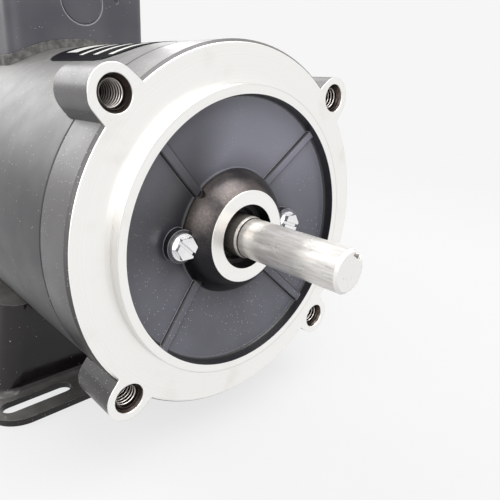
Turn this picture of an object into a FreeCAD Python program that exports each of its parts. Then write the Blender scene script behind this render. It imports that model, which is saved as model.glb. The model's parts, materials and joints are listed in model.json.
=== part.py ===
import FreeCAD, Part
import math
import os

# A foot-mounted, C-face, fan-cooled induction motor, in millimetres. The origin lies on the floor in
# the middle of the four foot slots, +Z is up and the shaft points along -Y. Depths run back from the
# C-face along +Y. Angles go round the shaft from +X towards +Z.

# Standard mounting sizes
SHAFT_HEIGHT = 88.9
FOOT_SPACING_X = 123.95
FOOT_SPACING_Y = 76.2
FACE_TO_FOOT = 69.85
FACE_BOLT_CIRCLE = 149.225
FACE_HOLE_R = 4.7625
REGISTER_R = 57.15
REGISTER_HEIGHT = 4.06
SHAFT_R = 7.9375
SHAFT_EXTENSION = 52.4
FOOT_SLOT_WIDTH = 8.7
FOOT_SLOT_LENGTH = 32.0

# Clearances
SEAT = 0.02
RUNNING = 0.06
PAINT = 0.1
LOOSE = 0.3

# Frame and shell
FRAME_R = 72.0
SHELL_WALL = 2.5
SHELL_LENGTH = 181.0
SEAM_DEPTH = 19.0
SPIGOT_LENGTH = 8.0
SEAM_CHAMFER = 0.6

# Front end shield
FACE_CHAMFER = 1.2
FACE_ANGLES = (45.0, 135.0, 225.0, 315.0)
FACE_HOLE_DEPTH = 18.0
FACE_SINK_R = 5.9
FACE_SINK_DEPTH = 2.6
EAR_R = 8.7
EAR_FLANK = 9.7
EAR_ROOT = 5.0
EAR_LENGTH = 24.5
EAR_ROUND = 2.0
SKIRT_WALL = 8.0
SHIELD_WALL = 5.5
REGISTER_LIP = 3.35
RECESS_DRAFT = 0.4
RECESS_RIM_DEPTH = 0.5
RECESS_ROUND = 1.6
HUB_FACE_R = 18.4
HUB_BASE_R = 25.4
HUB_BASE_DEPTH = 6.0
HUB_STEP = 1.6
HUB_ROUND = 0.8
HUB_BULGE = 1.0
HUB_NOTCH_R = 2.2
HUB_NOTCH_RING = 26.4
HUB_MOUTH_R = 13.0
HUB_BACK_WALL = 6.0
RIB_WIDTH = 4.4
RIB_HEIGHT = 1.5
RIB_ROUND = 1.2

# Ball bearings
BEARING_R = 20.0
BEARING_BORE_R = 8.5
BEARING_WIDTH = 12.0
BEARING_DEPTH = 8.0
BALL_R = 3.3735
BALL_RING_R = 14.25
BALL_COUNT = 8
RACE_LAND = 2.1
CAGE_WALL = 2.4
CAGE_WIDTH = 8.2

# Bearing retainer and its two screws
RETAINER_WALL = 4.0
RETAINER_BORE_R = 13.0
RETAINER_LUG_R = 6.0
SCREW_RING_R = 28.0
SCREW_ANGLES = (0.0, 180.0)
SCREW_BOSS_R = 6.4
SCREW_BOSS_DEPTH = 1.5
SCREW_R = 2.1
SCREW_WASHER_R = 5.2
SCREW_WASHER_WALL = 1.0
SCREW_HEX = 7.9
SCREW_HEX_HEIGHT = 2.6
SCREW_SLOT_WIDTH = 1.2
SCREW_SLOT_DEPTH = 1.3
SCREW_SLOT_TURNS = (20.0, 43.0)

# Shaft and its seal
SHAFT_CHAMFER = 1.0
SHOULDER_DEPTH = -4.8
SHOULDER_BEVEL = 1.2
SHOULDER_NOSE_R = 8.1
RELIEF_WIDTH = 0.4
RELIEF_CUT = 0.3
SHAFT_CORE_R = 10.75
SHAFT_TAIL_R = 7.0
KEYWAY_WIDTH = 4.76
KEYWAY_FLOOR = 5.19
KEYWAY_LENGTH = 35.8
KEYWAY_ANGLE = 56.0
SEAL_WIDTH = 6.0
SEAL_LIP = 2.2

# Stator and rotor
CORE_DEPTH = 75.0
CORE_LENGTH = 70.0
SLOT_COUNT = 24
SLOT_WIDTH = 4.6
SLOT_MOUTH = 2.2
SLOT_LIP = 1.6
SLOT_HEIGHT = 14.0
SLOT_LINER = 0.3
END_TURN_LENGTH = 20.0
END_TURN_HEIGHT = 16.0
END_TURN_ROUND = 5.0
END_TURN_GAP = 4.0
AIR_GAP = 0.4
BAR_COUNT = 20
BAR_R = 2.2
BAR_INSET = 3.4
END_RING_LIP = 0.8
END_RING_HEIGHT = 9.8
END_RING_WIDTH = 8.0

# Through bolts
BOLT_R = 2.4
BOLT_INSET = 7.5
BOLT_BOSS_R = 5.5
BOLT_ANGLES = (22.5, 112.5, 202.5, 292.5)
BOLT_GRIP = 12.0
BOLT_HEX = 7.9
BOLT_HEX_HEIGHT = 3.6
BOLT_HOLE_PLAY = 0.4

# Rear end shield and its preload spring
REAR_WALL = 6.0
REAR_HUB_REACH = 10.0
REAR_HUB_WALL = 5.0
REAR_HUB_BACK = 3.0
REAR_RIM_WALL = 2.5
REAR_RIM_LENGTH = 10.0
SPRING_ROOM = 2.5
SPRING_WALL = 0.4
SPRING_BORE_R = 16.2
SPRING_WAVES = 3
SPRING_STEPS = 8

# Cooling fan, its retaining ring and its cover
FAN_HUB_R = 13.0
FAN_GAP = 11.0
FAN_WIDTH = 17.0
FAN_DISC_WALL = 2.2
FAN_R = 58.0
FAN_BLADE_WALL = 2.4
FAN_BLADE_COUNT = 8
RETAINING_RING_WALL = 1.2
RETAINING_RING_WIDTH = 2.6
RETAINING_RING_GAP = 50.0
RETAINING_GROOVE = 0.8
SHAFT_TAIL_END = 3.0
COVER_WALL = 1.2
COVER_LIP_GAP = 1.0
COVER_LENGTH = 45.0
COVER_ROUND = 12.0
GRILLE_CENTRE_R = 14.0
GRILLE_SLOT_WIDTH = 4.6
GRILLE_SLOT_LENGTH = 16.0
GRILLE_ROW_GAP = 5.0
GRILLE_COUNTS = (10, 20)
COVER_SCREW_R = 1.9
COVER_SCREW_HEAD_R = 4.0
COVER_SCREW_HEAD = 2.4
COVER_SCREW_DEPTH = 6.0
COVER_SCREW_TIP = 3.0
COVER_SCREW_ANGLES = (45.0, 135.0, 225.0, 315.0)

# Pressed steel base
BASE_WALL = 3.0
FOOT_EDGE = 4.5
FOOT_END = 12.7
BASE_CORNER = 14.0
BASE_BEND = 3.5
SADDLE_DROP = 43.0
SADDLE_LEDGE = 5.5
SADDLE_SLOT_GAP = 0.25
SADDLE_DRAFT_X = 9.0
SADDLE_DRAFT_Y = 3.0
SADDLE_CORNER = 10.0

# Conduit box
BOX_LENGTH = 70.0
BOX_FROM_REAR = 5.0
BOX_HALF_WIDTH = 37.2
BOX_CORNER = 7.0
BOX_WALL = 2.0
BOX_RISE = 124.0
BOX_GASKET_WALL = 4.0
BOX_GASKET_LIP = 1.0
COVER_GASKET_WALL = 1.2
LID_WALL = 1.8
POST_R = 4.5
POST_LENGTH = 24.0
LID_SCREW_R = 1.6
LID_SCREW_HEAD_R = 3.6
LID_SCREW_HEAD = 2.2
LID_SCREW_LENGTH = 14.0
KNOCKOUT_R = 11.1
KNOCKOUT_GROOVE = 0.6
KNOCKOUT_DEPTH = 0.7
KNOCKOUT_RISE = 94.0
DIMPLE_R = 1.5
DIMPLE_X = 19.3
DIMPLE_RISE = 96.6
LEAD_HOLE_R = 9.0
LEAD_PASS_R = 13.0
LEAD_R = 1.5
LEAD_PITCH = 3.3
LEAD_RISE = 84.0
GROMMET_BORE_R = 6.4
GROMMET_FLANGE_R = 11.5
GROMMET_FLANGE = 2.4
BOX_SCREW_R = 2.1
BOX_SCREW_HEAD_R = 4.0
BOX_SCREW_HEAD = 2.6
BOX_SCREW_ANGLES = (74.0, 106.0)
BOX_SCREW_TIP = 3.0
GROUND_BOSS_R = 5.0
GROUND_BOSS_LENGTH = 6.0
GROUND_RISE = 100.0
GROUND_SCREW_R = 2.0
GROUND_HEAD_R = 4.4
GROUND_HEAD = 3.0
GROUND_SCREW_LENGTH = 5.0

# Places and radii that follow from the sizes above
FULL_TURN = 360.0
HALF_TURN = 180.0
HEX_SIDES = 6
V = FreeCAD.Vector
FORWARD = V(0, -1, 0)
BACK = V(0, 1, 0)
UP = V(0, 0, 1)
FACE_Y = -(FACE_TO_FOOT + FOOT_SPACING_Y / 2)
FACE_RING_R = FACE_BOLT_CIRCLE / 2
SHELL_BORE_R = FRAME_R - SHELL_WALL
SPIGOT_R = SHELL_BORE_R - SEAT
BOLT_RING_R = SHELL_BORE_R - BOLT_INSET
RECESS_MOUTH_R = REGISTER_R - REGISTER_LIP
RECESS_FLOOR_R = RECESS_MOUTH_R - RECESS_DRAFT
SKIRT_BORE_R = FRAME_R - SKIRT_WALL
BEARING_BACK = BEARING_DEPTH + BEARING_WIDTH
REAR_DEPTH = SEAM_DEPTH + SHELL_LENGTH
REAR_BEARING_DEPTH = REAR_DEPTH - REAR_HUB_REACH
REAR_BEARING_BACK = REAR_BEARING_DEPTH + BEARING_WIDTH
REAR_POCKET_BACK = REAR_BEARING_BACK + SPRING_ROOM
REAR_HUB_END = REAR_POCKET_BACK + REAR_HUB_BACK
REAR_WALL_BACK = REAR_DEPTH + REAR_WALL
COVER_R = FRAME_R - PAINT
COVER_BORE_R = COVER_R - COVER_WALL
REAR_RIM_R = COVER_BORE_R - LOOSE
REAR_RIM_BORE_R = REAR_RIM_R - REAR_RIM_WALL
COVER_DEPTH = REAR_WALL_BACK + COVER_LIP_GAP
COVER_BACK = COVER_DEPTH + COVER_LENGTH
COVER_SCREW_PLACE = COVER_DEPTH + COVER_SCREW_DEPTH
FAN_DEPTH = REAR_HUB_END + FAN_GAP
FAN_BACK = FAN_DEPTH + FAN_WIDTH
SHAFT_BACK = FAN_BACK + RETAINING_RING_WALL + SHAFT_TAIL_END
CORE_BACK = CORE_DEPTH + CORE_LENGTH
END_TURN_BORE_R = BOLT_RING_R - BOLT_R - END_TURN_GAP - END_TURN_HEIGHT
CORE_BORE_R = END_TURN_BORE_R - SLOT_LIP
ROTOR_R = CORE_BORE_R - AIR_GAP
BAR_RING_R = ROTOR_R - BAR_INSET
LEAD_DEPTH = (CORE_BACK + REAR_DEPTH - SPIGOT_LENGTH) / 2
BASE_MIDDLE = FACE_TO_FOOT + FOOT_SPACING_Y / 2
BASE_HALF_WIDTH = FOOT_SPACING_X / 2 + FOOT_SLOT_LENGTH / 2 + FOOT_EDGE
BASE_HALF_LENGTH = FOOT_SPACING_Y / 2 + FOOT_END
SADDLE_R = FRAME_R + PAINT
SADDLE_FOOT_HALF_X = BASE_HALF_WIDTH - SADDLE_LEDGE
SADDLE_FOOT_HALF_Y = FOOT_SPACING_Y / 2 - FOOT_SLOT_WIDTH / 2 - BASE_BEND - SADDLE_SLOT_GAP
SADDLE_TOP_HALF_X = SADDLE_FOOT_HALF_X - SADDLE_DRAFT_X
SADDLE_TOP_HALF_Y = SADDLE_FOOT_HALF_Y - SADDLE_DRAFT_Y
BOX_SEAT_R = FRAME_R + BOX_GASKET_WALL
BOX_FLOOR_R = BOX_SEAT_R + BOX_WALL
BOX_BACK = REAR_DEPTH - BOX_FROM_REAR
BOX_DEPTH = BOX_BACK - BOX_LENGTH
BOX_MIDDLE = BOX_DEPTH + BOX_LENGTH / 2
BOX_TOP = SHAFT_HEIGHT + BOX_RISE
LID_TOP = BOX_TOP + COVER_GASKET_WALL + LID_WALL


def at(radius, depth, angle=0.0):
    """Point at a radius from the shaft axis, a depth behind the face and an angle round the shaft."""
    turn = math.radians(angle)
    return V(radius * math.cos(turn), FACE_Y + depth, SHAFT_HEIGHT + radius * math.sin(turn))


def turned(outline):
    """Solid turned about the shaft axis from (radius, depth) corners. Where a corner also names a radius
    and a depth on the way to it, that stretch is an arc."""
    edges = []
    last = at(*outline[-1][:2])
    for radius, depth, *way in outline:
        corner = at(radius, depth)
        edges.append(Part.Arc(last, at(*way), corner).toShape() if way else Part.makeLine(last, corner))
        last = corner
    return Part.Face(Part.Wire(edges)).revolve(at(0, 0), BACK, FULL_TURN)


def rod(radius, start, end, ring=0.0, angle=0.0):
    """Round bar parallel to the shaft, from one depth to another."""
    return Part.makeCylinder(radius, end - start, at(ring, start, angle), BACK)


def tube(outer, inner, start, end):
    """Round tube about the shaft axis."""
    return turned([(inner, start), (outer, start), (outer, end), (inner, end)])


def spoke(radius, start, end, depth, angle):
    """Round bar pointing away from the shaft, between two distances from its axis."""
    direction = at(1, depth, angle) - at(0, depth, angle)
    return Part.makeCylinder(radius, end - start, at(start, depth, angle), direction)


def post(radius, x, depth, bottom, top):
    """Upright round bar between two heights."""
    return Part.makeCylinder(radius, top - bottom, V(x, FACE_Y + depth, bottom), UP)


def spun(shape, angle):
    """Copy of a shape, turned round the shaft."""
    copy = shape.copy()
    copy.rotate(at(0, 0), FORWARD, angle)
    return copy


def evenly(count):
    """Angles that share a full turn."""
    return [FULL_TURN * index / count for index in range(count)]


def hexagon(across, start, end, ring, angle):
    """Hexagonal bar parallel to the shaft."""
    corner_r = across / 2 / math.cos(math.pi / HEX_SIDES)
    centre = at(ring, start, angle)
    corners = [centre + V(corner_r * math.cos(math.radians(turn)), 0, corner_r * math.sin(math.radians(turn)))
               for turn in evenly(HEX_SIDES)]
    return Part.Face(Part.makePolygon(corners + corners[:1])).extrude(BACK * (end - start))


def rims(shape, radius, depth):
    """Round edges about the shaft with this radius and depth."""
    found = []
    for edge in shape.Edges:
        if not isinstance(edge.Curve, Part.Circle):
            continue
        place = edge.Curve.Center - at(0, depth)
        if abs(edge.Curve.Radius - radius) < SEAT / 2 and place.Length < SEAT / 2:
            found.append(edge)
    return found


def rounded_outline(half_x, half_y, middle, height, corner):
    """Level rectangle with round corners, about a middle depth."""
    y = FACE_Y + middle
    turns = ((1, 1, 0), (-1, 1, 90), (-1, -1, 180), (1, -1, 270))
    edges = []
    arcs = []
    for side_x, side_y, start in turns:
        centre = V(side_x * (half_x - corner), y + side_y * (half_y - corner), height)
        circle = Part.Circle(centre, UP, corner)
        arcs.append(Part.Arc(circle, math.radians(start), math.radians(start + HALF_TURN / 2)).toShape())
    for arc, following in zip(arcs, arcs[1:] + arcs[:1]):
        edges.append(arc)
        edges.append(Part.makeLine(arc.lastVertex().Point, following.firstVertex().Point))
    return Part.Wire(edges)


def rounded_block(half_x, half_y, middle, bottom, top, corner):
    """Upright block with round corners."""
    outline = rounded_outline(half_x, half_y, middle, bottom, corner)
    return Part.Face(outline).extrude(UP * (top - bottom))


def long_slot(x, depth, length, width, bottom, top):
    """Upright cutter for a round-ended slot along X."""
    reach = (length - width) / 2
    ends = [post(width / 2, x + side * reach, depth, bottom, top) for side in (-1, 1)]
    middle = Part.makeBox(2 * reach, width, top - bottom, V(x - reach, FACE_Y + depth - width / 2, bottom))
    return middle.fuse(ends)


def joined(first, others):
    """Several solids made into one."""
    return first.fuse(others).removeSplitter()


def save(name, solids):
    """Write one node: a solid, or a group of separate solids."""
    shape = solids[0] if len(solids) == 1 else Part.makeCompound(solids)
    shape.exportStep("parts/" + name + ".step")


def make_ear(angle):
    """Lobe round one face hole, with flanks that widen towards the face ring."""
    root_r = FRAME_R - EAR_ROOT
    lean = math.asin((EAR_FLANK - EAR_R) / (FACE_RING_R - root_r)) if EAR_FLANK > EAR_R else 0.0
    side_x = FACE_RING_R + EAR_R * math.sin(lean)
    side_z = EAR_R * math.cos(lean)
    corners = [V(root_r, 0, -EAR_FLANK), V(side_x, 0, -side_z), V(FACE_RING_R + EAR_R, 0, 0),
               V(side_x, 0, side_z), V(root_r, 0, EAR_FLANK)]
    outline = Part.Wire([
        Part.makeLine(corners[0], corners[1]),
        Part.Arc(corners[1], corners[2], corners[3]).toShape(),
        Part.makeLine(corners[3], corners[4]),
        Part.makeLine(corners[4], corners[0])])
    ear = Part.Face(outline).extrude(BACK * EAR_LENGTH)
    ear.translate(at(0, 0))
    lobe_end = [edge for edge in ear.Edges
                if isinstance(edge.Curve, Part.Circle) and edge.Curve.Center.y > FACE_Y + EAR_LENGTH / 2]
    ear = ear.makeFillet(EAR_ROUND, lobe_end)
    return spun(ear, angle)


def dish_depth(radius):
    """Depth of the dished recess floor at a radius."""
    slope = (HUB_BASE_DEPTH - RECESS_RIM_DEPTH) / (RECESS_FLOOR_R - HUB_BASE_R)
    return HUB_BASE_DEPTH - slope * (radius - HUB_BASE_R)


def make_rib(angle):
    """Low rib that follows the dish from inside the hub to inside the register."""
    inner_r = (HUB_FACE_R + HUB_BASE_R) / 2
    outer_r = (RECESS_MOUTH_R + REGISTER_R) / 2
    ends = [(inner_r, -RIB_HEIGHT), (outer_r, -RIB_HEIGHT), (outer_r, RIB_HEIGHT), (inner_r, RIB_HEIGHT)]
    corners = [at(radius, dish_depth(radius) + rise) - UP * (RIB_WIDTH / 2) for radius, rise in ends]
    rib = Part.Face(Part.makePolygon(corners + corners[:1])).extrude(UP * RIB_WIDTH)
    crests = [edge for edge in rib.Edges if edge.Length > outer_r - inner_r
              and edge.CenterOfMass.y < FACE_Y + dish_depth(edge.CenterOfMass.x)]
    return spun(rib.makeFillet(RIB_ROUND, crests), angle)


def make_front_shield():
    """Cast C-face shield: machined face ring and register, ribbed dish, hub and four ears."""
    hub_foot = HUB_BASE_DEPTH - HUB_STEP
    skirt_floor = RECESS_RIM_DEPTH + SHIELD_WALL
    skirt_end = SEAM_DEPTH + SPIGOT_LENGTH
    casting = turned([
        (HUB_MOUTH_R, -REGISTER_HEIGHT), (HUB_FACE_R, -REGISTER_HEIGHT),
        (HUB_BASE_R, hub_foot, (HUB_FACE_R + HUB_BASE_R) / 2 + HUB_BULGE, (hub_foot - REGISTER_HEIGHT) / 2),
        (HUB_BASE_R, HUB_BASE_DEPTH), (RECESS_FLOOR_R, RECESS_RIM_DEPTH), (RECESS_MOUTH_R, -REGISTER_HEIGHT),
        (REGISTER_R, -REGISTER_HEIGHT), (REGISTER_R, 0), (FRAME_R - FACE_CHAMFER, 0),
        (FRAME_R, FACE_CHAMFER), (FRAME_R, SEAM_DEPTH - SEAM_CHAMFER), (FRAME_R - SEAM_CHAMFER, SEAM_DEPTH),
        (SPIGOT_R, SEAM_DEPTH), (SPIGOT_R, skirt_end),
        (SKIRT_BORE_R, skirt_end), (SKIRT_BORE_R, skirt_floor + SHIELD_WALL), (RECESS_FLOOR_R, skirt_floor),
        (BEARING_R + HUB_BACK_WALL, HUB_BASE_DEPTH + SHIELD_WALL), (BEARING_R + HUB_BACK_WALL, BEARING_BACK),
        (BEARING_R + SEAT, BEARING_BACK), (BEARING_R + SEAT, BEARING_DEPTH), (HUB_MOUTH_R, BEARING_DEPTH)])
    casting = casting.makeFillet(RECESS_ROUND, rims(casting, RECESS_FLOOR_R, RECESS_RIM_DEPTH))
    casting = casting.makeFillet(HUB_ROUND, rims(casting, HUB_BASE_R, HUB_BASE_DEPTH))

    notches = [rod(HUB_NOTCH_R, -REGISTER_HEIGHT, HUB_BASE_DEPTH - RIB_HEIGHT, HUB_NOTCH_RING, angle)
               for angle in FACE_ANGLES]
    casting = casting.cut(notches)

    additions = [make_ear(angle) for angle in FACE_ANGLES]
    additions += [make_rib(angle) for angle in FACE_ANGLES]
    additions += [rod(SCREW_BOSS_R, SCREW_BOSS_DEPTH, BEARING_BACK, SCREW_RING_R, angle)
                  for angle in SCREW_ANGLES]
    additions += [rod(BOLT_BOSS_R, skirt_floor, skirt_end, BOLT_RING_R, angle) for angle in BOLT_ANGLES]
    casting = casting.fuse(additions)

    cutters = [rod(BEARING_R + SEAT, BEARING_DEPTH, BEARING_BACK)]
    cutters.append(tube(FRAME_R + LOOSE, SPIGOT_R, SEAM_DEPTH, EAR_LENGTH))
    for angle in FACE_ANGLES:
        cutters.append(rod(FACE_HOLE_R, 0, FACE_HOLE_DEPTH, FACE_RING_R, angle))
        cutters.append(Part.makeCone(FACE_SINK_R, FACE_HOLE_R, FACE_SINK_DEPTH, at(FACE_RING_R, 0, angle), BACK))
    for angle in SCREW_ANGLES:
        cutters.append(rod(SCREW_R + LOOSE, SCREW_BOSS_DEPTH, BEARING_BACK, SCREW_RING_R, angle))
        cutters.append(rod(SCREW_WASHER_R + LOOSE, -REGISTER_HEIGHT, SCREW_BOSS_DEPTH, SCREW_RING_R, angle))
    for angle in BOLT_ANGLES:
        cutters.append(rod(BOLT_R + SEAT, skirt_end - BOLT_GRIP, skirt_end, BOLT_RING_R, angle))
    return casting.cut(cutters).removeSplitter()


def make_stator_shell():
    """Rolled steel shell with the lead hole and two tapped holes under the conduit box."""
    shell = turned([
        (SHELL_BORE_R, SEAM_DEPTH), (FRAME_R - SEAM_CHAMFER, SEAM_DEPTH), (FRAME_R, SEAM_DEPTH + SEAM_CHAMFER),
        (FRAME_R, REAR_DEPTH - SEAM_CHAMFER), (FRAME_R - SEAM_CHAMFER, REAR_DEPTH), (SHELL_BORE_R, REAR_DEPTH)])
    cutters = [post(LEAD_HOLE_R, 0, LEAD_DEPTH, SHAFT_HEIGHT, SHAFT_HEIGHT + FRAME_R)]
    cutters += [spoke(BOX_SCREW_R + SEAT, SHELL_BORE_R - LOOSE, FRAME_R + LOOSE, LEAD_DEPTH, angle)
                for angle in BOX_SCREW_ANGLES]
    return shell.cut(cutters)


def make_rear_shield():
    """Rear shield: spigot in the shell, bearing pocket with room for the spring, rim for the fan cover."""
    hub_r = BEARING_R + REAR_HUB_WALL
    rim_end = REAR_WALL_BACK + REAR_RIM_LENGTH
    casting = turned([
        (BEARING_R + SEAT, REAR_BEARING_DEPTH), (hub_r, REAR_BEARING_DEPTH), (hub_r, REAR_DEPTH),
        (SPIGOT_R - SKIRT_WALL, REAR_DEPTH), (SPIGOT_R - SKIRT_WALL, REAR_DEPTH - SPIGOT_LENGTH),
        (SPIGOT_R, REAR_DEPTH - SPIGOT_LENGTH), (SPIGOT_R, REAR_DEPTH), (FRAME_R, REAR_DEPTH),
        (FRAME_R, REAR_WALL_BACK), (REAR_RIM_R, REAR_WALL_BACK), (REAR_RIM_R, rim_end),
        (REAR_RIM_BORE_R, rim_end), (REAR_RIM_BORE_R, REAR_WALL_BACK), (hub_r, REAR_WALL_BACK),
        (hub_r, REAR_HUB_END), (SHAFT_TAIL_R + LOOSE, REAR_HUB_END), (SHAFT_TAIL_R + LOOSE, REAR_POCKET_BACK),
        (BEARING_R + SEAT, REAR_POCKET_BACK)])
    bolt_start = REAR_DEPTH - SPIGOT_LENGTH
    cutters = [rod(BOLT_R + BOLT_HOLE_PLAY, bolt_start, REAR_WALL_BACK, BOLT_RING_R, angle)
               for angle in BOLT_ANGLES]
    cutters += [spoke(COVER_SCREW_R + SEAT, REAR_RIM_BORE_R - LOOSE, REAR_RIM_R + LOOSE, COVER_SCREW_PLACE, angle)
                for angle in COVER_SCREW_ANGLES]
    return casting.cut(cutters)


def make_stator_core():
    """Laminated core with open slots and four grooves that let the through bolts pass."""
    core = tube(SHELL_BORE_R - SEAT, CORE_BORE_R, CORE_DEPTH, CORE_BACK)
    lip_r = END_TURN_BORE_R
    slot = Part.makeBox(SLOT_HEIGHT, CORE_LENGTH, SLOT_WIDTH, at(lip_r, CORE_DEPTH) - UP * (SLOT_WIDTH / 2))
    mouth = Part.makeBox(lip_r, CORE_LENGTH, SLOT_MOUTH, at(0, CORE_DEPTH) - UP * (SLOT_MOUTH / 2))
    slot = slot.fuse(mouth)
    groove_r = BOLT_R + BOLT_HOLE_PLAY
    groove = rod(groove_r, CORE_DEPTH, CORE_BACK, BOLT_RING_R)
    groove = groove.fuse(Part.makeBox(2 * BOLT_INSET, CORE_LENGTH, 2 * groove_r,
                                      at(BOLT_RING_R, CORE_DEPTH) - UP * groove_r))
    cutters = [spun(slot, angle) for angle in evenly(SLOT_COUNT)]
    cutters += [spun(groove, angle) for angle in BOLT_ANGLES]
    return core.cut(cutters)


def make_winding():
    """Winding: slot bars joined by a round-edged bundle of end turns at each end."""
    inner_r = END_TURN_BORE_R
    bar_width = SLOT_WIDTH - 2 * SLOT_LINER
    bar_height = SLOT_HEIGHT - 2 * SLOT_LINER
    start = CORE_DEPTH - SLOT_LINER
    end = CORE_BACK + SLOT_LINER
    bar_start = start - END_TURN_LENGTH / 2
    bar = Part.makeBox(bar_height, end - start + END_TURN_LENGTH, bar_width,
                       at(inner_r + SLOT_LINER, bar_start) - UP * (bar_width / 2))
    bundles = []
    for near, far in ((start, start - END_TURN_LENGTH), (end, end + END_TURN_LENGTH)):
        bundle = tube(inner_r + END_TURN_HEIGHT, inner_r, min(near, far), max(near, far))
        edges = rims(bundle, inner_r + END_TURN_HEIGHT, far) + rims(bundle, inner_r, far)
        bundles.append(bundle.makeFillet(END_TURN_ROUND, edges))
    return joined(bundles[0], bundles[1:] + [spun(bar, angle) for angle in evenly(SLOT_COUNT)])


def make_rotor_core():
    """Laminated rotor core with closed round holes for the cage bars."""
    core = tube(ROTOR_R, SHAFT_CORE_R + SEAT, CORE_DEPTH, CORE_BACK)
    return core.cut([rod(BAR_R + SEAT, CORE_DEPTH, CORE_BACK, BAR_RING_R, angle) for angle in evenly(BAR_COUNT)])


def make_rotor_cage():
    """Cast squirrel cage: bars joined by an end ring at each end."""
    outer_r = BAR_RING_R + BAR_R + END_RING_LIP
    rings = [tube(outer_r, outer_r - END_RING_HEIGHT, start, start + END_RING_WIDTH)
             for start in (CORE_DEPTH - END_RING_WIDTH, CORE_BACK)]
    bars = [rod(BAR_R, CORE_DEPTH - END_RING_WIDTH, CORE_BACK + END_RING_WIDTH, BAR_RING_R, angle)
            for angle in evenly(BAR_COUNT)]
    return joined(rings[0], rings[1:] + bars)


def make_shaft():
    """Stepped shaft with an open keyway, two bearing seats and a tail for the fan."""
    nose_depth = SHOULDER_DEPTH - SHOULDER_BEVEL
    ring_groove_r = SHAFT_TAIL_R - RETAINING_GROOVE
    ring_end = FAN_BACK + RETAINING_RING_WALL + SEAT
    shaft = turned([
        (0, -SHAFT_EXTENSION), (SHAFT_R - SHAFT_CHAMFER, -SHAFT_EXTENSION),
        (SHAFT_R, SHAFT_CHAMFER - SHAFT_EXTENSION), (SHAFT_R, nose_depth - RELIEF_WIDTH),
        (SHAFT_R - RELIEF_CUT, nose_depth - RELIEF_WIDTH), (SHAFT_R - RELIEF_CUT, nose_depth),
        (SHOULDER_NOSE_R, nose_depth), (BEARING_BORE_R, SHOULDER_DEPTH),
        (BEARING_BORE_R, BEARING_BACK), (SHAFT_CORE_R, BEARING_BACK), (SHAFT_CORE_R, REAR_BEARING_DEPTH),
        (BEARING_BORE_R, REAR_BEARING_DEPTH), (BEARING_BORE_R, REAR_BEARING_BACK),
        (SHAFT_TAIL_R, REAR_BEARING_BACK), (SHAFT_TAIL_R, FAN_BACK), (ring_groove_r, FAN_BACK),
        (ring_groove_r, ring_end), (SHAFT_TAIL_R, ring_end), (SHAFT_TAIL_R, SHAFT_BACK), (0, SHAFT_BACK)])
    straight = KEYWAY_LENGTH - KEYWAY_WIDTH / 2
    key_cut = Part.makeBox(SHAFT_R, straight, KEYWAY_WIDTH,
                           at(KEYWAY_FLOOR, -SHAFT_EXTENSION) - UP * (KEYWAY_WIDTH / 2))
    key_cut = key_cut.fuse(spoke(KEYWAY_WIDTH / 2, KEYWAY_FLOOR, KEYWAY_FLOOR + SHAFT_R,
                                 straight - SHAFT_EXTENSION, 0))
    return shaft.cut(spun(key_cut, KEYWAY_ANGLE))


def make_seal():
    """Rubber shaft seal in the hub mouth, dished towards its lip."""
    end = BEARING_DEPTH - SEAT
    start = end - SEAL_WIDTH
    lip_r = BEARING_BORE_R + RUNNING
    return turned([
        (HUB_MOUTH_R - SEAT, start), (HUB_MOUTH_R - SEAT, end), (lip_r, end), (lip_r, end - SEAL_LIP),
        (HUB_MOUTH_R - SEAL_LIP, end - SEAL_LIP), (HUB_MOUTH_R - SEAL_LIP, start)])


def make_bearing(name, depth):
    """Deep-groove ball bearing: outer ring, inner ring, cage and balls."""
    middle = depth + BEARING_WIDTH / 2
    end = depth + BEARING_WIDTH
    groove = Part.makeTorus(BALL_RING_R, BALL_R + RUNNING, at(0, middle), BACK)
    outer = tube(BEARING_R, BALL_RING_R + RACE_LAND, depth, end).cut(groove)
    inner = tube(BALL_RING_R - RACE_LAND, BEARING_BORE_R + SEAT, depth, end).cut(groove)
    ball = Part.makeSphere(BALL_R, at(BALL_RING_R, middle))
    cage = tube(BALL_RING_R + CAGE_WALL / 2, BALL_RING_R - CAGE_WALL / 2,
                middle - CAGE_WIDTH / 2, middle + CAGE_WIDTH / 2)
    cage = cage.cut([spoke(BALL_R + RUNNING, BALL_RING_R - CAGE_WALL, BALL_RING_R + CAGE_WALL, middle, angle)
                     for angle in evenly(BALL_COUNT)])
    save(name + "_bearing_outer_ring", [outer])
    save(name + "_bearing_inner_ring", [inner])
    save(name + "_bearing_cage", [cage])
    save(name + "_bearing_balls", [spun(ball, angle) for angle in evenly(BALL_COUNT)])


def make_retainer():
    """Plate behind the front bearing, with a tapped lug for each screw."""
    end = BEARING_BACK + RETAINER_WALL
    plate = tube(BEARING_R + HUB_BACK_WALL / 2, RETAINER_BORE_R, BEARING_BACK, end)
    lugs = [rod(RETAINER_LUG_R, BEARING_BACK, end, SCREW_RING_R, angle) for angle in SCREW_ANGLES]
    plate = joined(plate, lugs)
    return plate.cut([rod(SCREW_R + SEAT, BEARING_BACK, end, SCREW_RING_R, angle) for angle in SCREW_ANGLES])


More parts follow.
